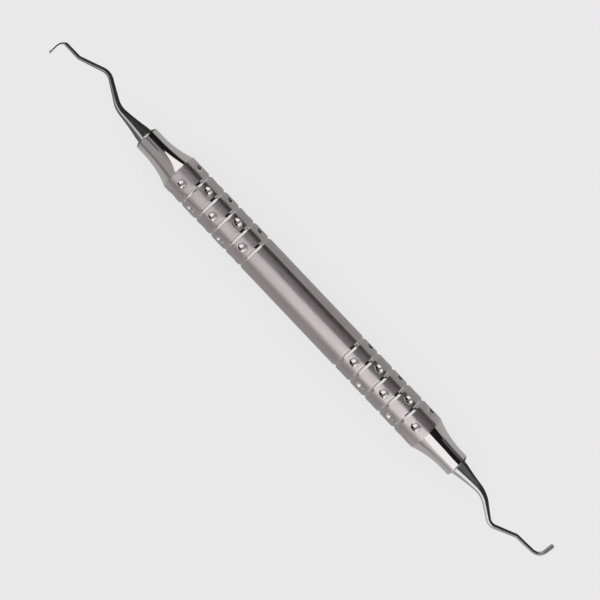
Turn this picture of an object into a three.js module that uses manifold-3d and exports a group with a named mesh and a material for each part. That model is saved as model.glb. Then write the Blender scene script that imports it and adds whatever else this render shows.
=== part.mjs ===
// A double-ended dental hand scaler: a hollow satin handle with ring grooves and finger dimples,
// closed at each end by a polished nose that holds a bent shank with a hooked scaling blade.
//
// Millimetres. The origin is on the handle's axis at mid-length. +X runs along the handle, the
// shanks bend in the XY plane and +Z is up. Each end is designed pointing outwards along +X, and
// the left end is then turned half a turn about Z, so the two ends point opposite ways.

import * as THREE from "three";
import { mergeVertices } from "three/addons/utils/BufferGeometryUtils.js";
import Module from "manifold-3d";

const { clamp, degToRad, lerp, smoothstep } = THREE.MathUtils;
const FULL_TURN = 2 * Math.PI;

// Handle tube
const HANDLE_RADIUS = 5;
const BORE_RADIUS = 4;
const HANDLE_SIDES = 30;
const EDGE_ROUND = 0.13;

// Ring grooves, the same set at both ends of the tube
const GROOVES_PER_END = 5;
const FIRST_GROOVE = 16.8;
const GROOVE_PITCH = 5.2;
const GROOVE_WIDTH = 1.1;
const GROOVE_DEPTH = 0.38;
const GROOVE_STEPS = 4;

// Finger dimples, one ring of them on each band between two grooves and on the outermost band
const DIMPLES_PER_BAND = 5;
const DIMPLE_MOUTH_RADIUS = 1.28;
const DIMPLE_DEPTH = 0.6;
const DIMPLE_SIDES = 8;

// Noses: a spigot pressed into the tube, then a hollow-curved flare that ends in a flat face
const NOSE_FACE = 55.25;
const NOSE_SHOULDER_RADIUS = 4.87;
const NOSE_TIP_RADIUS = 3.25;
const NOSE_TIP_CHAMFER = 0.3;
const FLARE_LENGTH = 8.9;
const FLARE_STEPS = 6;
const SPIGOT_LENGTH = 8;
const SPIGOT_CLEARANCE = 0.03;
const SPIGOT_RECESS_RADIUS = 2.8;
const SPIGOT_RECESS_DEPTH = 6;

// Working ends: a straight tang brazed into the nose, then the tapered shank and the blade
const TANG_RADIUS = 2.2;
const TANG_LENGTH = 11;
const TANG_BORE_RADIUS = 2.25;
const TANG_BORE_DEPTH = 11.3;
const SHANK_SIDES = 14;
const SHANK_RINGS = 68;
const BLADE_LENGTH = 5.7;
const BLADE_RUN_IN = 1.3;
const BLADE_FACE_SHARE = 0.33;
const TOE_LENGTH = 0.55;
const TOE_STEPS = 4;

// The shank tapers slowly along its whole length, and flares out to the tang's radius at its root
const SHANK_FINE_RADIUS = 0.74;
const SHANK_TAPER_PER_MM = 0.0092;
const ROOT_FLARE = TANG_RADIUS - SHANK_FINE_RADIUS;
const ROOT_FLARE_REACH = 6;
const ROOT_FLARE_POWER = 1.26;

// Braze fillets: the bead of filler in the countersunk mouth of each nose
const COUNTERSINK = 0.35;
const BEAD_HEIGHT = 0.28;
const BEAD_INNER_RADIUS = 2.23;
const BEAD_CLEARANCE = 0.03;
const BEAD_STEPS = 3;
const BEAD_SIDES = 24;

// What differs between the two ends. A bend is the straight run before it, then the angle it
// turns the shank, in degrees, and its radius. A dimple angle is measured from +Z towards +Y.
// The blade's round back goes from bladeRadius to toeRadius along it, and its flat face looks
// into its hook, tilted towards +Z by faceTilt degrees.
const LEFT = {
  name: "left",
  direction: -1,
  shoulder: 43.7,
  dimpleAngle: -15.5,
  bends: [
    { run: 7.95, angle: -29.7, radius: 7 },
    { run: 5.3, angle: 50.1, radius: 3.7 },
    { run: 5.95, angle: -20.4, radius: 3 },
    { run: 3.55, angle: 81.5, radius: 1.75 },
    { run: 0, angle: 20, radius: 8 },
  ],
  toeRun: 0.15,
  bladeRadius: 0.54,
  toeRadius: 0.42,
  faceTilt: -14,
};

const RIGHT = {
  name: "right",
  direction: 1,
  shoulder: 44.3,
  dimpleAngle: -10,
  bends: [
    { run: 6.9, angle: -33.3, radius: 8 },
    { run: 3.89, angle: 57.6, radius: 2.6 },
    { run: 5.47, angle: -21.5, radius: 1.2 },
    { run: 5, angle: 81.5, radius: 2.5 },
  ],
  toeRun: 2.45,
  bladeRadius: 0.5,
  toeRadius: 0.62,
  faceTilt: 30,
};

const ENDS = [LEFT, RIGHT];

const satinSteel = { color: 0x9d9393, roughness: 0.42, metalness: 1 };
const polishedSteel = { color: 0xc9c4c4, roughness: 0.12, metalness: 1 };
const instrumentSteel = { color: 0x8f9090, roughness: 0.2, metalness: 1 };
const brazeFiller = { color: 0xe0dedd, roughness: 0.25, metalness: 1 };

const wasm = await Module();
wasm.setup();

// ---- Small tools ----

function point(radius, along) {
  return new THREE.Vector2(radius, along);
}

// A solid of revolution about the X axis. A flat, not an edge, of its polygon faces +Z and -Z.
function turned(profile, sides) {
  const geometry = new THREE.LatheGeometry(profile, sides, Math.PI / sides, FULL_TURN);
  return geometry.rotateZ(-Math.PI / 2);
}

// The closed solid of a geometry, ready for cutting
function solidOf(geometry) {
  const bare = geometry.clone();
  bare.deleteAttribute("normal");
  bare.deleteAttribute("uv");
  const merged = mergeVertices(bare);
  const corners = merged.index.array;
  const triangles = [];
  for (let i = 0; i < corners.length; i += 3) {
    const [a, b, c] = corners.slice(i, i + 3);
    if (a !== b && b !== c && c !== a) {
      triangles.push(a, b, c);
    }
  }
  const vertProperties = new Float32Array(merged.attributes.position.array);
  const triVerts = new Uint32Array(triangles);
  return new wasm.Manifold(new wasm.Mesh({ numProp: 3, vertProperties, triVerts }));
}

// The geometry of a solid that has been cut
function geometryOf(solid) {
  const mesh = solid.getMesh();
  const geometry = new THREE.BufferGeometry();
  geometry.setAttribute("position", new THREE.BufferAttribute(mesh.vertProperties, 3));
  geometry.setIndex(new THREE.BufferAttribute(mesh.triVerts, 1));
  geometry.computeVertexNormals();
  return geometry;
}

function part(name, geometry, look) {
  const mesh = new THREE.Mesh(geometry, new THREE.MeshStandardMaterial(look));
  mesh.name = name;
  return mesh;
}

// Turns a piece that was designed pointing along +X to its own end of the handle
function atEnd(mesh, end) {
  mesh.rotation.z = end.direction > 0 ? 0 : Math.PI;
  return mesh;
}

// ---- Handle tube ----

function grooveCentre(index) {
  return FIRST_GROOVE + index * GROOVE_PITCH;
}

// The outer outline of one half of the tube, from its mid-length to its shoulder
function halfOutline(end) {
  const outline = [];
  for (let groove = 0; groove < GROOVES_PER_END; groove += 1) {
    for (let step = 0; step <= GROOVE_STEPS; step += 1) {
      const across = step / GROOVE_STEPS;
      const depth = GROOVE_DEPTH * Math.sin(Math.PI * across);
      const along = grooveCentre(groove) + (across - 0.5) * GROOVE_WIDTH;
      outline.push(point(HANDLE_RADIUS - depth, along));
    }
  }
  outline.push(point(HANDLE_RADIUS, end.shoulder - EDGE_ROUND));
  outline.push(point(HANDLE_RADIUS - EDGE_ROUND, end.shoulder));
  return outline;
}

function tubeBlank() {
  const rightHalf = halfOutline(RIGHT);
  const leftHalf = halfOutline(LEFT).map((p) => point(p.x, -p.y)).reverse();
  const bore = [point(BORE_RADIUS, RIGHT.shoulder), point(BORE_RADIUS, -LEFT.shoulder)];
  const closing = leftHalf[0].clone();
  return turned([...leftHalf, ...rightHalf, ...bore, closing], HANDLE_SIDES);
}

// The middles of the dimpled bands: between neighbouring grooves, and the outermost band
function bandCentres(end) {
  const edges = [];
  for (let groove = 0; groove < GROOVES_PER_END; groove += 1) {
    edges.push(grooveCentre(groove));
  }
  edges.push(end.shoulder);
  return edges.slice(1).map((edge, i) => (edge + edges[i]) / 2);
}

// One dimple's cutter: a ball whose pole points at the axis, so that its rings cut evenly
function dimpleCutter(along, angle) {
  const ballRadius = (DIMPLE_MOUTH_RADIUS ** 2 + DIMPLE_DEPTH ** 2) / (2 * DIMPLE_DEPTH);
  const centreRadius = HANDLE_RADIUS + ballRadius - DIMPLE_DEPTH;
  const ball = new THREE.SphereGeometry(ballRadius, DIMPLE_SIDES, DIMPLE_SIDES - 2);
  ball.rotateX(Math.PI / 2);
  ball.translate(0, 0, centreRadius);
  ball.rotateX(-angle);
  ball.translate(along, 0, 0);
  return solidOf(ball);
}

function handleTube() {
  let tube = solidOf(tubeBlank());
  const spacing = FULL_TURN / DIMPLES_PER_BAND;
  for (const end of ENDS) {
    for (const [band, centre] of bandCentres(end).entries()) {
      const stagger = band % 2 === 0 ? 0 : spacing / 2;
      for (let dimple = 0; dimple < DIMPLES_PER_BAND; dimple += 1) {
        const angle = degToRad(end.dimpleAngle) + stagger + dimple * spacing;
        tube = tube.subtract(dimpleCutter(end.direction * centre, angle));
      }
    }
  }
  return part("handle_tube", geometryOf(tube), satinSteel);
}

// ---- Noses ----

// The flare is an arc that meets the cylindrical tip smoothly
function flareOutline(shoulder) {
  const drop = NOSE_SHOULDER_RADIUS - NOSE_TIP_RADIUS;
  const arcRadius = (FLARE_LENGTH ** 2 + drop ** 2) / (2 * drop);
  const outline = [];
  for (let step = 0; step <= FLARE_STEPS; step += 1) {
    const left = FLARE_LENGTH * (1 - step / FLARE_STEPS);
    const rise = arcRadius - Math.sqrt(arcRadius ** 2 - left ** 2);
    outline.push(point(NOSE_TIP_RADIUS + rise, shoulder + FLARE_LENGTH - left));
  }
  return outline;
}

function nose(end) {
  const spigotRadius = BORE_RADIUS - SPIGOT_CLEARANCE;
  const innerEnd = end.shoulder - SPIGOT_LENGTH;
  const boreFloor = NOSE_FACE - TANG_BORE_DEPTH;
  const profile = [
    point(0, innerEnd + SPIGOT_RECESS_DEPTH),
    point(SPIGOT_RECESS_RADIUS, innerEnd + SPIGOT_RECESS_DEPTH),
    point(SPIGOT_RECESS_RADIUS, innerEnd),
    point(spigotRadius, innerEnd),
    point(spigotRadius, end.shoulder),
    ...flareOutline(end.shoulder),
    point(NOSE_TIP_RADIUS, NOSE_FACE - NOSE_TIP_CHAMFER),
    point(NOSE_TIP_RADIUS - NOSE_TIP_CHAMFER, NOSE_FACE),
    point(TANG_BORE_RADIUS + COUNTERSINK, NOSE_FACE),
    point(TANG_BORE_RADIUS, NOSE_FACE - COUNTERSINK),
    point(TANG_BORE_RADIUS, boreFloor),
    point(0, boreFloor),
  ];
  const geometry = turned(profile, HANDLE_SIDES);
  return atEnd(part(`nose_${end.name}`, geometry, polishedSteel), end);
}

// ---- Braze fillets ----

// A wedge that fills the countersink, with a rounded bead standing out of the nose's face
function brazeFillet(end) {
  const depth = COUNTERSINK - 2 * BEAD_CLEARANCE;
  const mouthRadius = TANG_BORE_RADIUS + COUNTERSINK - BEAD_CLEARANCE;
  const bead = [];
  for (let step = 0; step <= BEAD_STEPS; step += 1) {
    const turn = (Math.PI / 2) * (step / BEAD_STEPS);
    const radius = lerp(BEAD_INNER_RADIUS, mouthRadius, Math.cos(turn));
    bead.push(point(radius, NOSE_FACE + BEAD_HEIGHT * Math.sin(turn)));
  }
  const wedgeTip = point(BEAD_INNER_RADIUS, NOSE_FACE - depth);
  const geometry = turned([wedgeTip, ...bead, wedgeTip.clone()], BEAD_SIDES);
  return atEnd(part(`braze_fillet_${end.name}`, geometry, brazeFiller), end);
}

// ---- Working ends ----

function arcLength(bend) {
  return bend.radius * Math.abs(degToRad(bend.angle));
}

function bentLength(end) {
  return end.bends.reduce((sum, bend) => sum + bend.run + arcLength(bend), end.toeRun);
}

// Where the bent shank's centreline is, and which way it heads, at a distance along it. The
// distance is counted from the nose's face, and is negative inside the nose.
function alongShank(end, distance) {
  const place = new THREE.Vector2(NOSE_FACE, 0);
  let heading = 0;
  let left = distance;
  for (const bend of end.bends) {
    const run = Math.min(left, bend.run);
    place.x += run * Math.cos(heading);
    place.y += run * Math.sin(heading);
    left -= run;
    if (left <= 0) {
      return { place, heading };
    }
    const side = Math.sign(bend.angle);
    const turn = (side * Math.min(left, arcLength(bend))) / bend.radius;
    place.x += side * bend.radius * (Math.sin(heading + turn) - Math.sin(heading));
    place.y -= side * bend.radius * (Math.cos(heading + turn) - Math.cos(heading));
    heading += turn;
    left -= Math.abs(turn) * bend.radius;
  }
  place.x += left * Math.cos(heading);
  place.y += left * Math.sin(heading);
  return { place, heading };
}

// How far the blade is formed at a distance along the shank: 0 on the shank, 1 on the blade
function bladeShare(end, distance) {
  const start = bentLength(end) - BLADE_LENGTH;
  return smoothstep(distance, start, start + BLADE_RUN_IN);
}

function bladeRadiusAt(end, distance) {
  const left = (bentLength(end) - TOE_LENGTH - distance) / (BLADE_LENGTH - TOE_LENGTH);
  return lerp(end.toeRadius, end.bladeRadius, clamp(left, 0, 1));
}

function shankRadius(end, distance) {
  const fine = SHANK_FINE_RADIUS - SHANK_TAPER_PER_MM * distance;
  const flare = ROOT_FLARE * Math.exp(-((distance / ROOT_FLARE_REACH) ** ROOT_FLARE_POWER));
  return lerp(fine + flare, bladeRadiusAt(end, distance), bladeShare(end, distance));
}

// The straight turned blank: tang, tapered shank and rounded toe, with its axis along Y
function blank(end) {
  const toeStart = bentLength(end) - TOE_LENGTH;
  const profile = [point(0, -TANG_LENGTH), point(TANG_RADIUS, -TANG_LENGTH)];
  for (let ring = 0; ring <= SHANK_RINGS; ring += 1) {
    const distance = toeStart * (ring / SHANK_RINGS);
    profile.push(point(shankRadius(end, distance), distance));
  }
  for (let step = 1; step < TOE_STEPS; step += 1) {
    const turn = (Math.PI / 2) * (step / TOE_STEPS);
    profile.push(point(end.toeRadius * Math.cos(turn), toeStart + TOE_LENGTH * Math.sin(turn)));
  }
  profile.push(point(0, toeStart + TOE_LENGTH));
  return new THREE.LatheGeometry(profile, SHANK_SIDES);
}

// Presses the blade's flat face into the blank: whatever stands above the face is pushed down
function flattened(end, distance, across, up) {
  const tilt = degToRad(end.faceTilt);
  const height = up * Math.sin(tilt) - across * Math.cos(tilt);
  const formed = bladeShare(end, distance);
  const faceHeight = bladeRadiusAt(end, distance) * lerp(1, BLADE_FACE_SHARE, formed);
  const excess = formed > 0 ? Math.max(0, height - faceHeight) : 0;
  return {
    across: across + excess * Math.cos(tilt),
    up: up - excess * Math.sin(tilt),
  };
}

// Forms the straight blank: flattens the blade, then bends the whole along the centreline
function workingEnd(end) {
  const geometry = blank(end);
  const positions = geometry.attributes.position;
  const vertex = new THREE.Vector3();
  for (let i = 0; i < positions.count; i += 1) {
    vertex.fromBufferAttribute(positions, i);
    const distance = vertex.y;
    const section = flattened(end, distance, vertex.x, vertex.z);
    const { place, heading } = alongShank(end, distance);
    const x = place.x + section.across * Math.sin(heading);
    const y = place.y - section.across * Math.cos(heading);
    positions.setXYZ(i, x, y, section.up);
  }
  geometry.computeVertexNormals();
  return atEnd(part(`working_end_${end.name}`, geometry, instrumentSteel), end);
}

// ---- Assembly ----

const scaler = new THREE.Group();
scaler.add(handleTube());
for (const end of ENDS) {
  scaler.add(nose(end), brazeFillet(end), workingEnd(end));
}

export default scaler;
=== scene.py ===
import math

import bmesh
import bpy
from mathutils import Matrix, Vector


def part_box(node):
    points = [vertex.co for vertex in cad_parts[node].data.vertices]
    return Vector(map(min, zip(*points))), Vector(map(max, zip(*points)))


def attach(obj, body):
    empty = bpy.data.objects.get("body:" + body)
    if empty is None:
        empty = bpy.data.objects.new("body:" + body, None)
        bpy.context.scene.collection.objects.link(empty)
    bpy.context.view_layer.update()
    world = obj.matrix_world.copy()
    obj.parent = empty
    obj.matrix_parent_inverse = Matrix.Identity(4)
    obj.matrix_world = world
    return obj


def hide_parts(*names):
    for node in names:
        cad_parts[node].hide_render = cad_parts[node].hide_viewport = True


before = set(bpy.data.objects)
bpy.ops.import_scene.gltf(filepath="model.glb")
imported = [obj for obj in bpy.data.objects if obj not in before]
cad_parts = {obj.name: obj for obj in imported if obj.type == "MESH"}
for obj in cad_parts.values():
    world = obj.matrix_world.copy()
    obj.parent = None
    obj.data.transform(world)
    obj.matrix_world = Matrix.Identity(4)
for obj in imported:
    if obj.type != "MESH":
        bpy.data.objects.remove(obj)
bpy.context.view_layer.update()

# The looks of a double-ended dental hand scaler, built around its CAD frame. +X runs along the
# handle, and the origin is on the handle's axis at mid-length. The scaler's lengths are written in
# millimetres, and MM turns them into the scene's metres. The studio's lengths are metres. Angles
# are written in degrees.

MM = 0.001
FULL_TURN = 2 * math.pi
BODY = "root"

# ---- Sizes read from the frame, in millimetres ----

tube_low, tube_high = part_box("handle_tube")
HANDLE_RADIUS = tube_high.y / MM
NOSE_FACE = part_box("nose_right")[1].x / MM

# ---- Handle tube ----

BORE_RADIUS = 4.0
EDGE_ROUND = 0.13
GROOVES_PER_END = 5
FIRST_GROOVE = 16.8
GROOVE_PITCH = 5.2
GROOVE_WIDTH = 1.1
GROOVE_DEPTH = 0.38
GROOVE_LIP = 0.12
GROOVE_ROUND = 0.06
DIMPLES_PER_BAND = 5
DIMPLE_MOUTH_RADIUS = 1.28
DIMPLE_DEPTH = 0.6
DIMPLE_RIM_BLEND = 0.1
ARC_STEPS = 24
SIDE_STEPS = 8
CENTRE_RINGS = 16

# ---- Noses ----

NOSE_SHOULDER_RADIUS = 4.87
NOSE_TIP_RADIUS = 3.25
NOSE_TIP_CHAMFER = 0.3
FLARE_LENGTH = 8.9
FLARE_STEPS = 28
SPIGOT_LENGTH = 8.0
SPIGOT_CLEARANCE = 0.03
SPIGOT_RECESS_RADIUS = 2.8
SPIGOT_RECESS_DEPTH = 6.0
CORNER_ROUND = 0.06
ROUND_STEPS = 4
TURNED_SIDES = 144

# ---- Braze fillets ----

COUNTERSINK = 0.35
BEAD_HEIGHT = 0.28
BEAD_INNER_RADIUS = 2.2
BEAD_CLEARANCE = 0.03
BEAD_STEPS = 10

# ---- Working ends ----

TANG_RADIUS = 2.2
TANG_LENGTH = 11.0
TANG_BORE_RADIUS = 2.25
TANG_BORE_DEPTH = 11.3
SHANK_FINE_RADIUS = 0.74
SHANK_TAPER_PER_MM = 0.0092
ROOT_FLARE = TANG_RADIUS - SHANK_FINE_RADIUS
ROOT_FLARE_REACH = 6.0
ROOT_FLARE_POWER = 1.26
SHANK_SIDES = 48
SHANK_STEP = 0.16
BLADE_LENGTH = 5.7
BLADE_RUN_IN = 1.3
BLADE_FACE_SHARE = 0.33
TOE_LENGTH = 0.55
TOE_STEPS = 10


class Bend:
    """A straight run, and then a turn of the shank by an angle on a radius."""

    def __init__(self, run, angle, radius):
        self.run = run
        self.turn = math.radians(angle)
        self.radius = radius
        self.arc = abs(self.turn) * radius


class End:
    """One end of the scaler. A direction of -1 is the end on -X, which is turned about Z."""

    def __init__(self, name, direction, dimple_angle, bends, toe_run, blade_radius, toe_radius,
                 face_tilt):
        self.name = name
        self.direction = direction
        self.dimple_angle = math.radians(dimple_angle)
        self.bends = bends
        self.toe_run = toe_run
        self.blade_radius = blade_radius
        self.toe_radius = toe_radius
        self.face_tilt = math.radians(face_tilt)
        edge = tube_high.x if direction > 0 else -tube_low.x
        self.shoulder = edge / MM
        self.length = sum(bend.run + bend.arc for bend in bends) + toe_run


LEFT = End(
    name="left",
    direction=-1,
    dimple_angle=-15.5,
    bends=[
        Bend(7.95, -29.7, 7.0),
        Bend(5.3, 50.1, 3.7),
        Bend(5.95, -20.4, 3.0),
        Bend(3.55, 81.5, 1.75),
        Bend(0.0, 20.0, 8.0),
    ],
    toe_run=0.15,
    blade_radius=0.54,
    toe_radius=0.42,
    face_tilt=-14.0,
)
RIGHT = End(
    name="right",
    direction=1,
    dimple_angle=-10.0,
    bends=[
        Bend(6.9, -33.3, 8.0),
        Bend(3.89, 57.6, 2.6),
        Bend(5.47, -21.5, 1.2),
        Bend(5.0, 81.5, 2.5),
    ],
    toe_run=2.45,
    blade_radius=0.5,
    toe_radius=0.62,
    face_tilt=30.0,
)
ENDS = (LEFT, RIGHT)


# ---- Small tools ----

MERGE_DISTANCE = 0.002
CRISP_ANGLE = 40.0


def lerp(a, b, share):
    return a + (b - a) * share


def smoothstep(value, low, high):
    share = min(1.0, max(0.0, (value - low) / (high - low)))
    return share * share * (3 - 2 * share)


def smooth_min(a, b, blend):
    """The smaller of two numbers, rounded off where they are within blend of each other."""
    overlap = max(blend - abs(a - b), 0.0) / blend
    return min(a, b) - overlap * overlap * blend / 4


def around_x(x, radius, angle):
    """A place at a radius from the X axis; the angle is measured from +Z towards +Y."""
    return Vector((x, radius * math.sin(angle), radius * math.cos(angle))) * MM


def turned_to_end(place, end):
    """Moves a place that was worked out on the +X end to the end it belongs to."""
    return Vector((place.x * end.direction, place.y * end.direction, place.z))


def new_object(name, vertices, faces, materials, face_materials=None):
    """A smooth-shaded mesh object; edges sharper than CRISP_ANGLE stay crisp."""
    mesh = bpy.data.meshes.new(name)
    mesh.from_pydata(vertices, [], faces)
    for material in materials:
        mesh.materials.append(material)
    if face_materials:
        mesh.polygons.foreach_set("material_index", face_materials)
    cleaned = bmesh.new()
    cleaned.from_mesh(mesh)
    bmesh.ops.remove_doubles(cleaned, verts=cleaned.verts, dist=MERGE_DISTANCE * MM)
    bmesh.ops.recalc_face_normals(cleaned, faces=cleaned.faces)
    cleaned.to_mesh(mesh)
    cleaned.free()
    mesh.polygons.foreach_set("use_smooth", [True] * len(mesh.polygons))
    mesh.set_sharp_from_angle(angle=math.radians(CRISP_ANGLE))
    piece = bpy.data.objects.new(name, mesh)
    bpy.context.scene.collection.objects.link(piece)
    return piece


def stand_for(piece, node):
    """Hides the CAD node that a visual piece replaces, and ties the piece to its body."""
    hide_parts(node)
    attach(piece, BODY)


def strip_faces(first, rings, sides):
    """Quads that join equal rings of vertices, which are numbered ring by ring from first."""
    faces = []
    for ring in range(rings - 1):
        low = first + ring * sides
        high = low + sides
        for side in range(sides):
            following = (side + 1) % sides
            faces.append((low + side, low + following, high + following, high + side))
    return faces


def rounded(profile, radius):
    """A profile of (x, radius) points with every corner replaced by a small curve."""
    result = [profile[0]]
    for before, corner, after in zip(profile, profile[1:], profile[2:]):
        corner_at = Vector(corner)
        back = Vector(before) - corner_at
        ahead = Vector(after) - corner_at
        reach = min(radius, back.length / 2, ahead.length / 2)
        start = corner_at + back.normalized() * reach
        finish = corner_at + ahead.normalized() * reach
        for step in range(ROUND_STEPS + 1):
            share = step / ROUND_STEPS
            leg_in = start.lerp(corner_at, share)
            leg_out = corner_at.lerp(finish, share)
            result.append(tuple(leg_in.lerp(leg_out, share)))
    result.append(profile[-1])
    return result


def turned_piece(name, profile, end, material):
    """A solid of revolution about X from (x, radius) points, moved to its end of the handle."""
    vertices = []
    for x, radius in profile:
        for side in range(TURNED_SIDES):
            place = around_x(x, radius, FULL_TURN * side / TURNED_SIDES)
            vertices.append(turned_to_end(place, end))
    faces = strip_faces(0, len(profile), TURNED_SIDES)
    return new_object(name, vertices, faces, [material])


# ---- Materials ----

NOISE_LOW = 0.3
NOISE_HIGH = 0.7
QUARTER_TURN = 0.25


class Recipe:
    """A node material built around one metallic Principled shader."""

    def __init__(self, name, color, roughness):
        self.material = bpy.data.materials.new(name)
        self.material.use_nodes = True
        self.nodes = self.material.node_tree.nodes
        self.links = self.material.node_tree.links
        self.shader = self.nodes["Principled BSDF"]
        self.shader.inputs["Metallic"].default_value = 1.0
        self.shader.inputs["Base Color"].default_value = (*color, 1.0)
        self.shader.inputs["Roughness"].default_value = roughness
        self.place = self.nodes.new("ShaderNodeTexCoord").outputs["Object"]

    def noise(self, per_mm, detail=3.0):
        """Noise whose features repeat so many times per millimetre along X, Y and Z."""
        mapping = self.nodes.new("ShaderNodeMapping")
        mapping.inputs["Scale"].default_value = [count / MM for count in per_mm]
        self.links.new(self.place, mapping.inputs["Vector"])
        noise = self.nodes.new("ShaderNodeTexNoise")
        noise.inputs["Scale"].default_value = 1.0
        noise.inputs["Detail"].default_value = detail
        self.links.new(mapping.outputs["Vector"], noise.inputs["Vector"])
        return noise.outputs["Fac"]

    def vary_roughness(self, noise, low, high):
        spread = self.nodes.new("ShaderNodeMapRange")
        spread.inputs["From Min"].default_value = NOISE_LOW
        spread.inputs["From Max"].default_value = NOISE_HIGH
        spread.inputs["To Min"].default_value = low
        spread.inputs["To Max"].default_value = high
        self.links.new(noise, spread.inputs["Value"])
        self.links.new(spread.outputs["Result"], self.shader.inputs["Roughness"])

    def vary_color(self, noise, dark, light):
        ramp = self.nodes.new("ShaderNodeValToRGB")
        ramp.color_ramp.elements[0].position = NOISE_LOW
        ramp.color_ramp.elements[0].color = (*dark, 1.0)
        ramp.color_ramp.elements[1].position = NOISE_HIGH
        ramp.color_ramp.elements[1].color = (*light, 1.0)
        self.links.new(noise, ramp.inputs["Fac"])
        self.links.new(ramp.outputs["Color"], self.shader.inputs["Base Color"])

    def bump(self, noise, height_mm):
        bump = self.nodes.new("ShaderNodeBump")
        bump.inputs["Distance"].default_value = height_mm * MM
        bump.inputs["Strength"].default_value = 1.0
        self.links.new(noise, bump.inputs["Height"])
        self.links.new(bump.outputs["Normal"], self.shader.inputs["Normal"])

    def spread_along_x(self, amount):
        """Stretches the gloss along the handle, as turning marks that run around it do."""
        tangent = self.nodes.new("ShaderNodeTangent")
        tangent.direction_type = "RADIAL"
        tangent.axis = "X"
        self.shader.inputs["Anisotropic"].default_value = amount
        self.shader.inputs["Anisotropic Rotation"].default_value = QUARTER_TURN
        self.links.new(tangent.outputs["Tangent"], self.shader.inputs["Tangent"])


def satin_steel():
    """Fine blasted steel over turning marks: the handle's grip surface."""
    recipe = Recipe("satin_steel", color=(0.76, 0.70, 0.705), roughness=0.3)
    streaks = recipe.noise(per_mm=(0.12, 0.9, 0.9))
    patches = recipe.noise(per_mm=(0.5, 1.6, 1.6))
    grain = recipe.noise(per_mm=(9.0, 14.0, 14.0), detail=2.0)
    recipe.vary_color(streaks, dark=(0.72, 0.66, 0.665), light=(0.80, 0.74, 0.745))
    recipe.vary_roughness(patches, low=0.27, high=0.34)
    recipe.bump(grain, height_mm=0.0004)
    recipe.spread_along_x(amount=0.8)
    return recipe.material


def bright_cut_steel():
    """The bright, tool-cut surface inside the grooves and dimples."""
    recipe = Recipe("bright_cut_steel", color=(0.78, 0.75, 0.75), roughness=0.1)
    patches = recipe.noise(per_mm=(1.5, 1.5, 1.5))
    tool_marks = recipe.noise(per_mm=(6.0, 3.0, 3.0))
    recipe.vary_roughness(patches, low=0.08, high=0.14)
    recipe.bump(tool_marks, height_mm=0.0003)
    return recipe.material


def polished_steel():
    """The noses' mirror finish, with faint polishing marks that run around them."""
    recipe = Recipe("polished_steel", color=(0.78, 0.745, 0.75), roughness=0.06)
    patches = recipe.noise(per_mm=(0.6, 0.6, 0.6))
    polishing_marks = recipe.noise(per_mm=(5.0, 0.5, 0.5))
    recipe.vary_roughness(patches, low=0.05, high=0.1)
    recipe.bump(polishing_marks, height_mm=0.0002)
    return recipe.material


def instrument_steel():
    """The shanks' and blades' harder steel, finely ground along its length."""
    recipe = Recipe("instrument_steel", color=(0.70, 0.71, 0.71), roughness=0.16)
    streaks = recipe.noise(per_mm=(0.3, 0.8, 0.8))
    patches = recipe.noise(per_mm=(0.8, 2.5, 2.5))
    grinding_marks = recipe.noise(per_mm=(1.0, 8.0, 8.0))
    recipe.vary_color(streaks, dark=(0.65, 0.66, 0.66), light=(0.75, 0.755, 0.755))
    recipe.vary_roughness(patches, low=0.12, high=0.22)
    recipe.bump(grinding_marks, height_mm=0.0005)
    return recipe.material


def braze_filler():
    """Bright silver filler with a slightly rippled skin."""
    recipe = Recipe("braze_filler", color=(0.88, 0.87, 0.85), roughness=0.14)
    patches = recipe.noise(per_mm=(2.0, 2.0, 2.0))
    ripples = recipe.noise(per_mm=(2.5, 2.5, 2.5))
    recipe.vary_roughness(patches, low=0.1, high=0.22)
    recipe.bump(ripples, height_mm=0.002)
    return recipe.material


# ---- Handle tube ----

BALL_RADIUS = (DIMPLE_MOUTH_RADIUS ** 2 + DIMPLE_DEPTH ** 2) / (2 * DIMPLE_DEPTH)
BALL_CENTRE = HANDLE_RADIUS + BALL_RADIUS - DIMPLE_DEPTH
DIMPLE_HALF_ARC = DIMPLE_MOUTH_RADIUS * math.sqrt(HANDLE_RADIUS / BALL_CENTRE)
CELL_ANGLE = FULL_TURN / DIMPLES_PER_BAND
GRID_SIDES = ARC_STEPS * DIMPLES_PER_BAND
LIP_OUTSIDE = 1.14
LIP_INSIDE = 0.86
FLAT_STEPS = 4
LIP_STEPS = 5
BOWL_STEPS = 8
BOWL_FROM_RING = FLAT_STEPS + LIP_STEPS
SATIN = 0
BRIGHT = 1


def groove_profile(middle):
    """(x, radius) across one V-shaped groove, from flat to flat, its lips and floor rounded."""
    half_width = GROOVE_WIDTH / 2
    half_cut = half_width + GROOVE_LIP
    return rounded([
        (middle - half_cut, HANDLE_RADIUS),
        (middle - half_width, HANDLE_RADIUS),
        (middle, HANDLE_RADIUS - GROOVE_DEPTH),
        (middle + half_width, HANDLE_RADIUS),
        (middle + half_cut, HANDLE_RADIUS),
    ], GROOVE_ROUND)


def dimpled_radius(along, turn):
    """The tube's radius at a place measured from a dimple's middle, its rim rounded off."""
    chord = BALL_RADIUS ** 2 - along ** 2 - (BALL_CENTRE * math.sin(turn)) ** 2
    if chord <= 0:
        return HANDLE_RADIUS
    ball_wall = BALL_CENTRE * math.cos(turn) - math.sqrt(chord)
    return smooth_min(HANDLE_RADIUS, ball_wall, DIMPLE_RIM_BLEND)


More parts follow.
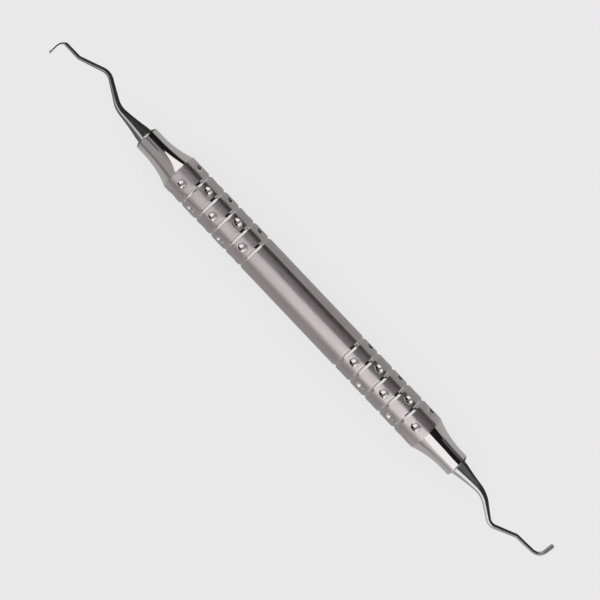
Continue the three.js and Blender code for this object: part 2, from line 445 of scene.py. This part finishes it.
def cell_border(inner, outer):
    """The border of one dimple's cell, unrolled: (along X, around), counted from the dimple."""
    half_arc = HANDLE_RADIUS * CELL_ANGLE / 2
    border = []
    for step in range(ARC_STEPS):
        border.append((outer, lerp(-half_arc, half_arc, step / ARC_STEPS)))
    for step in range(SIDE_STEPS):
        border.append((lerp(outer, inner, step / SIDE_STEPS), half_arc))
    for step in range(ARC_STEPS):
        border.append((inner, lerp(half_arc, -half_arc, step / ARC_STEPS)))
    for step in range(SIDE_STEPS):
        border.append((lerp(inner, outer, step / SIDE_STEPS), -half_arc))
    return border


def spoke_stops(reach, rim):
    """Distances from the dimple's middle at which one spoke of its cell has a vertex."""
    flat = [lerp(reach, rim * LIP_OUTSIDE, step / FLAT_STEPS) for step in range(FLAT_STEPS)]
    lip = [rim * lerp(LIP_OUTSIDE, 1.0, step / LIP_STEPS) for step in range(LIP_STEPS)]
    lip_inside = [rim * lerp(1.0, LIP_INSIDE, step / LIP_STEPS) for step in range(LIP_STEPS)]
    bowl = [rim * LIP_INSIDE * (1 - step / BOWL_STEPS) for step in range(BOWL_STEPS)]
    return flat + lip + lip_inside + bowl + [0.0]


class MeshParts:
    """Vertices, faces and face materials, gathered strip by strip."""

    def __init__(self):
        self.vertices = []
        self.faces = []
        self.face_materials = []

    def ring_strip(self, rings, material_index):
        """Joins equal rings of places into a strip of quads."""
        faces = strip_faces(len(self.vertices), len(rings), len(rings[0]))
        for ring in rings:
            self.vertices.extend(ring)
        self.faces.extend(faces)
        self.face_materials.extend([material_index] * len(faces))


def dimple_cell(parts, band, middle, angle, direction):
    """One dimple and the patch of band around it, as rings that shrink to the bowl's middle."""
    rings = []
    for along, around in cell_border(band[0] - middle, band[1] - middle):
        heading = math.atan2(around, along)
        reach = math.hypot(along, around)
        across_share = (math.cos(heading) / DIMPLE_MOUTH_RADIUS) ** 2
        around_share = (math.sin(heading) / DIMPLE_HALF_ARC) ** 2
        rim = 1 / math.sqrt(across_share + around_share)
        spoke = []
        for stop in spoke_stops(reach, rim):
            offset = stop * math.cos(heading)
            turn = stop * math.sin(heading) / HANDLE_RADIUS
            radius = dimpled_radius(offset, turn)
            spoke.append(around_x(direction * (middle + offset), radius, angle + turn))
        rings.append(spoke)
    by_ring = [list(ring) for ring in zip(*rings)]
    parts.ring_strip(by_ring[:BOWL_FROM_RING + 1], SATIN)
    parts.ring_strip(by_ring[BOWL_FROM_RING:], BRIGHT)


def whole_ring(x, radius, first_angle):
    """Places round the handle, as many as the dimples' cells have along their borders."""
    return [around_x(x, radius, first_angle + FULL_TURN * side / GRID_SIDES)
            for side in range(GRID_SIDES)]


def groove_middle(index):
    return FIRST_GROOVE + GROOVE_PITCH * index


def grooved_end(parts, end):
    """The grooves of one end, the dimpled bands between them and the rounded outer edge."""
    grid_angle = end.dimple_angle + CELL_ANGLE / 2
    half_cut = GROOVE_WIDTH / 2 + GROOVE_LIP
    for index in range(GROOVES_PER_END):
        rings = [whole_ring(end.direction * x, radius, grid_angle)
                 for x, radius in groove_profile(groove_middle(index))]
        parts.ring_strip(rings, BRIGHT)
    for index in range(GROOVES_PER_END):
        inner = groove_middle(index)
        outer = groove_middle(index + 1)
        band = (inner + half_cut, outer - half_cut)
        if index == GROOVES_PER_END - 1:
            outer = end.shoulder
            band = (inner + half_cut, end.shoulder - EDGE_ROUND)
        stagger = 0 if index % 2 == 0 else CELL_ANGLE / 2
        for dimple in range(DIMPLES_PER_BAND):
            angle = end.dimple_angle + stagger + dimple * CELL_ANGLE
            dimple_cell(parts, band, (inner + outer) / 2, angle, end.direction)
    edge = []
    for step in range(ROUND_STEPS + 1):
        turn = math.pi / 2 * step / ROUND_STEPS
        x = end.shoulder - EDGE_ROUND * (1 - math.sin(turn))
        radius = HANDLE_RADIUS - EDGE_ROUND * (1 - math.cos(turn))
        edge.append(whole_ring(end.direction * x, radius, grid_angle))
    edge.append(whole_ring(end.direction * end.shoulder, BORE_RADIUS, grid_angle))
    parts.ring_strip(edge, SATIN)


def handle_tube(satin, bright):
    """The grip: two grooved ends, the plain centre between them and the bore."""
    parts = MeshParts()
    for end in ENDS:
        grooved_end(parts, end)
    half_centre = FIRST_GROOVE - GROOVE_WIDTH / 2 - GROOVE_LIP
    centre = []
    for step in range(CENTRE_RINGS + 1):
        share = step / CENTRE_RINGS
        x = lerp(-half_centre, half_centre, share)
        first_angle = lerp(LEFT.dimple_angle, RIGHT.dimple_angle, share) + CELL_ANGLE / 2
        centre.append(whole_ring(x, HANDLE_RADIUS, first_angle))
    parts.ring_strip(centre, SATIN)
    bore = []
    for end in ENDS:
        first_angle = end.dimple_angle + CELL_ANGLE / 2
        bore.append(whole_ring(end.direction * end.shoulder, BORE_RADIUS, first_angle))
    parts.ring_strip(bore, SATIN)
    piece = new_object("grip_tube", parts.vertices, parts.faces, [satin, bright],
                       parts.face_materials)
    stand_for(piece, "handle_tube")


# ---- Noses ----

def flare(shoulder):
    """An arc from the shoulder that meets the cylindrical tip smoothly."""
    drop = NOSE_SHOULDER_RADIUS - NOSE_TIP_RADIUS
    arc_radius = (FLARE_LENGTH ** 2 + drop ** 2) / (2 * drop)
    points = []
    for step in range(FLARE_STEPS + 1):
        left = FLARE_LENGTH * (1 - step / FLARE_STEPS)
        rise = arc_radius - math.sqrt(arc_radius ** 2 - left ** 2)
        points.append((shoulder + FLARE_LENGTH - left, NOSE_TIP_RADIUS + rise))
    return points


def nose(end, material):
    """The turned nose: its hollow spigot in the tube, its flare and the tang's bore."""
    spigot_radius = BORE_RADIUS - SPIGOT_CLEARANCE
    inner_end = end.shoulder - SPIGOT_LENGTH
    recess_floor = inner_end + SPIGOT_RECESS_DEPTH
    bore_floor = NOSE_FACE - TANG_BORE_DEPTH
    inside = [
        (recess_floor, 0.0),
        (recess_floor, SPIGOT_RECESS_RADIUS),
        (inner_end, SPIGOT_RECESS_RADIUS),
        (inner_end, spigot_radius),
        (end.shoulder, spigot_radius),
        (end.shoulder, NOSE_SHOULDER_RADIUS),
    ]
    mouth = [
        (NOSE_FACE - NOSE_TIP_CHAMFER, NOSE_TIP_RADIUS),
        (NOSE_FACE, NOSE_TIP_RADIUS - NOSE_TIP_CHAMFER),
        (NOSE_FACE, TANG_BORE_RADIUS + COUNTERSINK),
        (NOSE_FACE - COUNTERSINK, TANG_BORE_RADIUS),
        (bore_floor, TANG_BORE_RADIUS),
        (bore_floor, 0.0),
    ]
    flare_points = flare(end.shoulder)
    profile = rounded(inside, CORNER_ROUND)[:-1] + flare_points[:-1]
    profile += rounded([flare_points[-1]] + mouth, CORNER_ROUND)
    piece = turned_piece(f"polished_nose_{end.name}", profile, end, material)
    stand_for(piece, f"nose_{end.name}")


# ---- Braze fillets ----

def braze_fillet(end, material):
    """A wedge in the nose's countersink, with a hollow-curved fillet up the shank's root."""
    mouth_radius = TANG_BORE_RADIUS + COUNTERSINK - BEAD_CLEARANCE
    profile = [(NOSE_FACE - COUNTERSINK + 2 * BEAD_CLEARANCE, BEAD_INNER_RADIUS)]
    for step in range(BEAD_STEPS + 1):
        turn = math.pi / 2 * step / BEAD_STEPS
        radius = lerp(BEAD_INNER_RADIUS, mouth_radius, math.cos(turn))
        profile.append((NOSE_FACE + BEAD_HEIGHT * math.sin(turn), radius))
    profile.append(profile[0])
    piece = turned_piece(f"filler_bead_{end.name}", profile, end, material)
    stand_for(piece, f"braze_fillet_{end.name}")


# ---- Working ends ----

def along_shank(end, distance):
    """The bent centreline's place and heading at a distance from the nose's face."""
    x, y, heading, left = NOSE_FACE, 0.0, 0.0, distance
    for bend in end.bends:
        run = min(left, bend.run)
        x += run * math.cos(heading)
        y += run * math.sin(heading)
        left -= run
        if left <= 0:
            return x, y, heading
        side = math.copysign(1.0, bend.turn)
        turn = side * min(left, bend.arc) / bend.radius
        x += side * bend.radius * (math.sin(heading + turn) - math.sin(heading))
        y -= side * bend.radius * (math.cos(heading + turn) - math.cos(heading))
        heading += turn
        left -= abs(turn) * bend.radius
    return x + left * math.cos(heading), y + left * math.sin(heading), heading


def blade_share(end, distance):
    """How far the blade is formed: 0 on the shank and 1 on the blade."""
    start = end.length - BLADE_LENGTH
    return smoothstep(distance, start, start + BLADE_RUN_IN)


def blade_radius_at(end, distance):
    """The radius of the blade's round back, which changes evenly from its start to its toe."""
    left = (end.length - TOE_LENGTH - distance) / (BLADE_LENGTH - TOE_LENGTH)
    return lerp(end.toe_radius, end.blade_radius, min(1.0, max(0.0, left)))


def shank_radius(end, distance):
    """The radius at a distance from the nose: a thick root, a fine shank and then the blade."""
    fine = SHANK_FINE_RADIUS - SHANK_TAPER_PER_MM * distance
    flare_out = ROOT_FLARE * math.exp(-((distance / ROOT_FLARE_REACH) ** ROOT_FLARE_POWER))
    return lerp(fine + flare_out, blade_radius_at(end, distance), blade_share(end, distance))


def blank_profile(end):
    """(distance, radius) along the straight blank: tang, tapered shank and rounded toe."""
    toe_start = end.length - TOE_LENGTH
    profile = [(-TANG_LENGTH, 0.0), (-TANG_LENGTH, TANG_RADIUS)]
    rings = math.ceil(toe_start / SHANK_STEP)
    for ring in range(rings + 1):
        distance = toe_start * ring / rings
        profile.append((distance, shank_radius(end, distance)))
    for step in range(1, TOE_STEPS + 1):
        turn = math.pi / 2 * step / TOE_STEPS
        radius = end.toe_radius * math.cos(turn)
        profile.append((toe_start + TOE_LENGTH * math.sin(turn), radius))
    return profile


def blade_section(end, distance, radius, side):
    """A point of the section, as (across the blade, up from the centreline). What stands above
    the flat face is pressed down to it as the blade forms, and the rest stays round."""
    angle = FULL_TURN * side / SHANK_SIDES
    height = radius * math.cos(angle)
    formed = blade_share(end, distance)
    if formed > 0:
        face_share = lerp(1.0, BLADE_FACE_SHARE, formed)
        height = min(height, blade_radius_at(end, distance) * face_share)
    return radius * math.sin(angle), height


def working_end(end, material):
    """Sweeps the blank's section along the bent centreline, from the tang to the toe."""
    vertices = []
    profile = blank_profile(end)
    for distance, radius in profile:
        x, y, heading = along_shank(end, distance)
        inward = Vector((-math.sin(heading), math.cos(heading), 0.0))
        tilt = end.face_tilt
        face_normal = inward * math.cos(tilt) + Vector((0, 0, 1)) * math.sin(tilt)
        edgewise = inward * math.sin(tilt) - Vector((0, 0, 1)) * math.cos(tilt)
        for side in range(SHANK_SIDES):
            across, height = blade_section(end, distance, radius, side)
            place = Vector((x, y, 0.0)) + edgewise * across + face_normal * height
            vertices.append(turned_to_end(place * MM, end))
    faces = strip_faces(0, len(profile), SHANK_SIDES)
    piece = new_object(f"shank_and_blade_{end.name}", vertices, faces, [material])
    stand_for(piece, f"working_end_{end.name}")


# ---- Studio: floor, sky and camera; lengths in metres ----

FLOOR_SIZE = 6.0
FLOOR_HEIGHT = -HANDLE_RADIUS * MM
FLOOR_ALBEDO = 0.12
FLOOR_IN_REFLECTIONS = 0.46
PALE = (1.0, 0.992, 1.0)
PALE_LEVEL = 0.83
NEUTRAL = (1.0, 0.98, 0.98)
WARM = (1.0, 0.955, 0.94)
COOL = (1.0, 0.965, 1.02)
VIEW_WIDTH = 0.1463
VIEW_TURN = 46.508
VIEW_CENTRE = (-0.00056, -0.00004)
CAMERA_HEIGHT = 0.6
SENSOR_WIDTH = 36.0


def emission(name, color, level):
    """A material that only glows."""
    material = bpy.data.materials.new(name)
    material.use_nodes = True
    nodes = material.node_tree.nodes
    nodes.clear()
    light = nodes.new("ShaderNodeEmission")
    light.inputs["Color"].default_value = (*color, 1.0)
    light.inputs["Strength"].default_value = level
    output = nodes.new("ShaderNodeOutputMaterial")
    material.node_tree.links.new(light.outputs["Emission"], output.inputs["Surface"])
    return material


def stage_mesh(name, vertices, faces, material):
    """A mesh that belongs to the studio and not to the scaler."""
    mesh = bpy.data.meshes.new(name)
    mesh.from_pydata(vertices, [], faces)
    mesh.materials.append(material)
    item = bpy.data.objects.new(name, mesh)
    bpy.context.scene.collection.objects.link(item)
    return item


def only_in_reflections(item):
    item.visible_camera = False
    item.visible_diffuse = False
    item.visible_shadow = False


def floor():
    """A pale floor that mostly glows, so the shadow under the handle is only faint."""
    material = bpy.data.materials.new("floor")
    material.use_nodes = True
    shader = material.node_tree.nodes["Principled BSDF"]
    shader.inputs["Base Color"].default_value = (FLOOR_ALBEDO, FLOOR_ALBEDO, FLOOR_ALBEDO, 1.0)
    shader.inputs["Roughness"].default_value = 1.0
    shader.inputs["Specular IOR Level"].default_value = 0.0
    shader.inputs["Emission Color"].default_value = (*PALE, 1.0)
    shader.inputs["Emission Strength"].default_value = PALE_LEVEL * (1.0 - FLOOR_ALBEDO)
    half = FLOOR_SIZE / 2
    corners = [(-half, -half, FLOOR_HEIGHT), (half, -half, FLOOR_HEIGHT),
               (half, half, FLOOR_HEIGHT), (-half, half, FLOOR_HEIGHT)]
    seen = stage_mesh("floor", corners, [(0, 1, 2, 3)], material)
    seen.visible_glossy = False
    glow = emission("floor_in_reflections", NEUTRAL, FLOOR_IN_REFLECTIONS)
    mirrored = stage_mesh("floor_in_reflections", corners, [(0, 1, 2, 3)], glow)
    only_in_reflections(mirrored)


def sky():
    """Even light for the floor and behind it; the metal sees only the cards."""
    world = bpy.data.worlds.new("sky")
    world.use_nodes = True
    background = world.node_tree.nodes["Background"]
    background.inputs["Color"].default_value = (*PALE, 1.0)
    background.inputs["Strength"].default_value = PALE_LEVEL
    world.cycles_visibility.glossy = False
    bpy.context.scene.world = world


def camera():
    """Looks straight down, turned so that the handle lies diagonally across the picture."""
    data = bpy.data.cameras.new("camera")
    data.sensor_width = SENSOR_WIDTH
    data.lens = SENSOR_WIDTH * CAMERA_HEIGHT / VIEW_WIDTH
    item = bpy.data.objects.new("camera", data)
    item.location = (*VIEW_CENTRE, CAMERA_HEIGHT)
    item.rotation_euler = (0.0, 0.0, math.radians(VIEW_TURN))
    bpy.context.scene.collection.objects.link(item)
    bpy.context.scene.camera = item


# ---- Light cards, seen only in reflections. Curved ones run along the X axis, and their angles
# are from overhead towards +Y. The straight grip reflects the near cards, the noses' flares the
# far ones, and the grooves' walls the cards beyond those. ----

CARD_STEPS = 12
CARD_DISTANCE = 0.6
KICKER_DISTANCE = 0.56
GROOVE_KICKER_DISTANCE = 0.55
BACKDROP_DISTANCE = 0.7

NEAR_RIGHT = (0.0, 0.25)
FAR_RIGHT = (0.25, 0.7)
GROOVES_RIGHT = (0.7, 2.2)
BESIDE_RIGHT = (0.09, 0.35)
MIDDLE = (-0.09, 0.09)
NEAR_LEFT = (0.0, -0.2)
FAR_LEFT = (-0.2, -1.2)
WHOLE_LEFT = (0.0, -1.2)
BESIDE_LEFT = (-0.09, -1.2)
GROOVES_LEFT = (-0.7, -2.2)
KICKER_TIP = (-0.246, -0.563)
KICKER = (-0.563, -2.0)
WHOLE = (-1.2, 1.2)
BEHIND_LEFT = (-1.2, 0.3)
BEHIND_RIGHT = (0.3, 1.2)
BACKDROP = (-2.0, 2.0)

HORIZON = 95
KEY_START = -50
FAR_KEY_START = -31
KEY_STOP = 7
FAR_KEY_STOP = 13
EDGE_START = -64
FAR_EDGE_START = -55
FILL_START = -80
FAR_FILL_START = -76
LEFT_FILL_START = -62
CROWN_START = -6
CROWN_STOP = 5
BACK_STOP = 25
KICKER_START = -17
KICKER_STOP = 57
BACK_HORIZON_START = 79


def light_card(name, reach, angles, level, color, far_angles=None, distance=CARD_DISTANCE):
    """A curved card that spans reach along X. Its angles may differ at the far end of reach."""
    spans = (angles, far_angles or angles)
    vertices = []
    for step in range(CARD_STEPS + 1):
        share = step / CARD_STEPS
        for x, span in zip(reach, spans):
            angle = math.radians(lerp(*span, share))
            vertices.append((x, distance * math.sin(angle), distance * math.cos(angle)))
    faces = [(2 * i, 2 * i + 1, 2 * i + 3, 2 * i + 2) for i in range(CARD_STEPS)]
    only_in_reflections(stage_mesh(name, vertices, faces, emission(name, color, level)))


def flat_card(name, corners, level):
    card = stage_mesh(name, corners, [(0, 1, 2, 3)], emission(name, NEUTRAL, level))
    only_in_reflections(card)


def key_cards():
    """The brightest softbox, on the right, and the light that the grooves' walls catch."""
    light_card("key_right", NEAR_RIGHT, (KEY_START, KEY_STOP), 1.12, NEUTRAL,
               far_angles=(KEY_START, FAR_KEY_STOP))
    light_card("key_far_right", FAR_RIGHT, (KEY_START, FAR_KEY_STOP), 1.12, NEUTRAL,
               far_angles=(FAR_KEY_START, FAR_KEY_STOP))
    light_card("key_grooves", GROOVES_RIGHT, (-90, 24), 0.5, NEUTRAL)
    light_card("kicker_grooves", GROOVES_LEFT, (-90, 80), 0.95, NEUTRAL,
               distance=GROOVE_KICKER_DISTANCE)
    light_card("key_edge", NEAR_RIGHT, (EDGE_START, KEY_START), 0.6, NEUTRAL)
    light_card("key_far_edge", FAR_RIGHT, (EDGE_START, KEY_START), 0.65, NEUTRAL,
               far_angles=(FAR_EDGE_START, FAR_KEY_START))


def fill_cards():
    """Dimmer light below the key on the right, and from the front to overhead on the left."""
    light_card("fill_right", NEAR_RIGHT, (FILL_START, EDGE_START), 0.42, WARM)
    light_card("fill_far_right", FAR_RIGHT, (FILL_START, EDGE_START), 0.38, WARM,
               far_angles=(FAR_FILL_START, FAR_EDGE_START))
    light_card("fill_left", WHOLE_LEFT, (LEFT_FILL_START, CROWN_START), 0.36, WARM)
    light_card("gap_left", NEAR_LEFT, (CROWN_START, CROWN_STOP), 0.12, NEUTRAL)
    light_card("crown_left", FAR_LEFT, (CROWN_START, CROWN_STOP), 0.31, WARM)


def back_cards():
    """The dim back, and the kicker that makes a bright triangle on the left nose."""
    light_card("back_left", BESIDE_LEFT, (CROWN_STOP, BACK_STOP), 0.26, COOL)
    light_card("kicker_tip", KICKER_TIP, (30, 38), 1.12, NEUTRAL, far_angles=(KICKER_START, 64),
               distance=KICKER_DISTANCE)
    light_card("kicker", KICKER, (KICKER_START, KICKER_STOP), 1.12, NEUTRAL,
               distance=KICKER_DISTANCE)
    light_card("back_middle", MIDDLE, (10, 54), 0.21, COOL)
    light_card("back_right", BESIDE_RIGHT, (50, 76), 0.1, COOL)


def horizon_cards():
    """Low light from the front and the back, and a dark backdrop for what is left between."""
    light_card("horizon_front", WHOLE, (-HORIZON, FILL_START), 0.3, WARM)
    light_card("horizon_front_left", WHOLE_LEFT, (FILL_START, LEFT_FILL_START), 0.22, WARM)
    light_card("horizon_back", BEHIND_LEFT, (BACK_HORIZON_START, HORIZON), 0.42, NEUTRAL)
    light_card("horizon_back_right", BEHIND_RIGHT, (70, HORIZON), 0.42, NEUTRAL)
    light_card("backdrop", BACKDROP, (KEY_STOP, BACK_HORIZON_START), 0.012, COOL,
               distance=BACKDROP_DISTANCE)


# ---- Small surroundings, close to the scaler and seen only in its reflections. Level cards lie
# a few thin layers above the floor, in the order in which they cover each other. ----

FLOOR_LAYER = 0.0001
CARD_FOOT = FLOOR_HEIGHT + FLOOR_LAYER
CARD_TOP = 0.005
SHADE_REACH = (-0.044, 0.044)
SHADE_SIDE = 0.03
BOARD_DISTANCE = 0.092
BOARD_SIDE = 0.015
BOARD_SPLIT = -0.003
BLADE_FLOOR_REACH = (0.073, 0.082)
BLADE_FLOOR_ACROSS = (-0.004, 0.008)

TENT_DISTANCE = 0.014
TENT_LAYER = 0.001
TENT_START = 0.0575
TENT_ROOT_END = 0.066
TENT_STRIP_END = 0.074
TENT_FAR_END = 0.15
TENT_FLOOR_WIDTH = 0.025
TENT_EAVES = 75
TENT_HEM = 100
TENT_LEVEL = 0.03
TENT_FLOOR_LEVEL = 0.04
DARK_LINE = 28
DARK_LINE_LEVEL = 0.02
FAR_STRIP_START = -50
FAR_STRIP_LEVEL = 0.3


def level_card(name, along, across, layer, level):
    """A flat, level card that spans along X and across Y, so many layers above the floor."""
    z = FLOOR_HEIGHT + layer * FLOOR_LAYER
    flat_card(name, [(along[0], across[0], z), (along[1], across[0], z),
                     (along[1], across[1], z), (along[0], across[1], z)], level)


def side_card(name, along, y, level):
    """A flat, upright card that runs along X at one distance to the side."""
    flat_card(name, [(along[0], y, CARD_FOOT), (along[1], y, CARD_FOOT),
                     (along[1], y, CARD_TOP), (along[0], y, CARD_TOP)], level)


def end_board(name, x, across, level):
    """A small upright card beyond one end of the scaler, facing the nose."""
    flat_card(name, [(x, across[0], CARD_FOOT), (x, across[1], CARD_FOOT),
                     (x, across[1], CARD_TOP), (x, across[0], CARD_TOP)], level)


def handle_shade():
    """Slightly dimmer floor and surroundings, close to the handle's grip only."""
    level_card("shade_floor", SHADE_REACH, (-SHADE_SIDE, SHADE_SIDE), 1, 0.33)
    for side in (-1, 1):
        side_card(f"shade_side_{side}", SHADE_REACH, side * SHADE_SIDE, 0.31)


class Tent:
    """A small tent round one shank, open towards -Y. The strip's angles are its low side, and
    then its high side at the shank's root and at the shank's bends."""

    def __init__(self, end, root_level, strip_angles, strip_level, front_level):
        self.end = end
        self.root_level = root_level
        self.strip_start, self.strip_stop, self.far_strip_stop = strip_angles
        self.strip_level = strip_level
        self.front_level = front_level

    def card(self, name, reach, angles, far_angles, level, distance=TENT_DISTANCE):
        along = [self.end.direction * x for x in reach]
        light_card(f"tent_{name}_{self.end.name}", along, angles, level, NEUTRAL, far_angles,
                   distance)

    def put_up(self):
        """A dark roof and back wall, and a bright strip and a dim wall towards the front."""
        root = (TENT_START, TENT_ROOT_END)
        bends = (TENT_ROOT_END, TENT_FAR_END)
        whole = (TENT_START, TENT_FAR_END)
        strip = (TENT_START, TENT_STRIP_END)
        beyond_strip = (TENT_STRIP_END, TENT_FAR_END)
        outer = TENT_DISTANCE + TENT_LAYER
        line_stop = self.strip_stop + DARK_LINE
        far_line_stop = self.far_strip_stop + DARK_LINE
        self.card("line", root, (self.strip_stop, line_stop),
                  (self.far_strip_stop, far_line_stop), DARK_LINE_LEVEL)
        self.card("root", root, (line_stop, TENT_EAVES), (far_line_stop, TENT_EAVES),
                  self.root_level)
        self.card("roof", bends, (self.far_strip_stop, TENT_EAVES), (0, TENT_EAVES), TENT_LEVEL)
        self.card("wall", whole, (TENT_EAVES, TENT_HEM), (TENT_EAVES, TENT_HEM), TENT_LEVEL)
        self.card("strip", strip, (self.strip_start, self.strip_stop),
                  (self.strip_start, self.far_strip_stop), self.strip_level, outer)
        self.card("front", strip, (-TENT_HEM, self.strip_start), (-TENT_HEM, self.strip_start),
                  self.front_level, outer)
        self.card("far_strip", beyond_strip, (FAR_STRIP_START, self.far_strip_stop),
                  (FAR_STRIP_START, 0), FAR_STRIP_LEVEL, outer)
        along = [self.end.direction * x for x in whole]
        level_card(f"tent_floor_{self.end.name}", along, (0.0, TENT_FLOOR_WIDTH), 2,
                   TENT_FLOOR_LEVEL)


def shank_surroundings():
    """A tent round each shank, and what the blades and the noses' end faces reflect."""
    left_tent = Tent(LEFT, root_level=0.04, strip_angles=(-57, -37, -14), strip_level=0.72,
                     front_level=0.15)
    right_tent = Tent(RIGHT, root_level=0.13, strip_angles=(-78, -36, -24), strip_level=1.05,
                      front_level=0.35)
    left_tent.put_up()
    right_tent.put_up()
    level_card("tent_floor_front", (-TENT_START, -TENT_FAR_END), (-SHADE_SIDE, 0.0), 2, 0.12)
    level_card("blade_floor", BLADE_FLOOR_REACH, BLADE_FLOOR_ACROSS, 3, 0.5)
    end_board("board_left", -BOARD_DISTANCE, (BOARD_SPLIT, BOARD_SIDE), 1.5)
    end_board("board_left_front", -BOARD_DISTANCE, (-BOARD_SIDE, BOARD_SPLIT), 0.3)
    end_board("board_right", BOARD_DISTANCE, (-BOARD_SIDE, BOARD_SIDE), 0.35)


# ---- The whole scene ----

handle_tube(satin_steel(), bright_cut_steel())
nose_material = polished_steel()
braze_material = braze_filler()
shank_material = instrument_steel()
for end in ENDS:
    nose(end, nose_material)
    braze_fillet(end, braze_material)
    working_end(end, shank_material)
floor()
key_cards()
fill_cards()
back_cards()
horizon_cards()
handle_shade()
shank_surroundings()
sky()
camera()
bpy.context.scene.view_settings.view_transform = "Standard"
